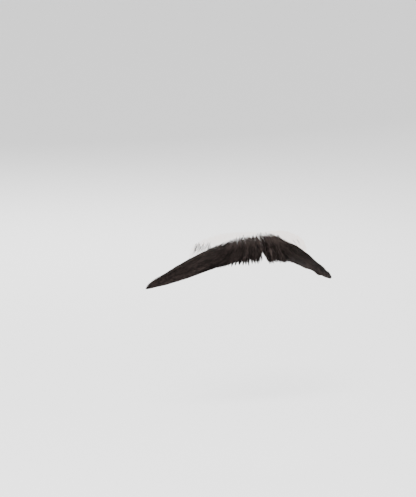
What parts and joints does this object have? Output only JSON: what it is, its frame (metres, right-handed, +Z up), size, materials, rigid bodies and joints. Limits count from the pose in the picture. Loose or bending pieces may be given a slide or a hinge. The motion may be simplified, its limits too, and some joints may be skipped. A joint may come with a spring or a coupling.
{
  "type": "fake moustache",
  "caption": "Long dark fake moustache on a curved strip of net lace, parted in the middle and drawn out to a waxed point on each side.",
  "frame": {"origin": "where the back of the lace sits on the middle of the upper lip, at the parting", "axes": "+X across the face, to the right as seen from the front; +Y into the face; +Z up"},
  "size_m": [0.1428, 0.0359, 0.0373],
  "materials": {
    "lace": "fine skin-coloured net, matt",
    "hair": "brown-black hair with a soft sheen, waxed towards the points"
  },
  "bodies": {
    "root": {"lace_base": "lace", "hair_wing_left": "hair", "hair_wing_right": "hair"}
  },
  "joints": []
}
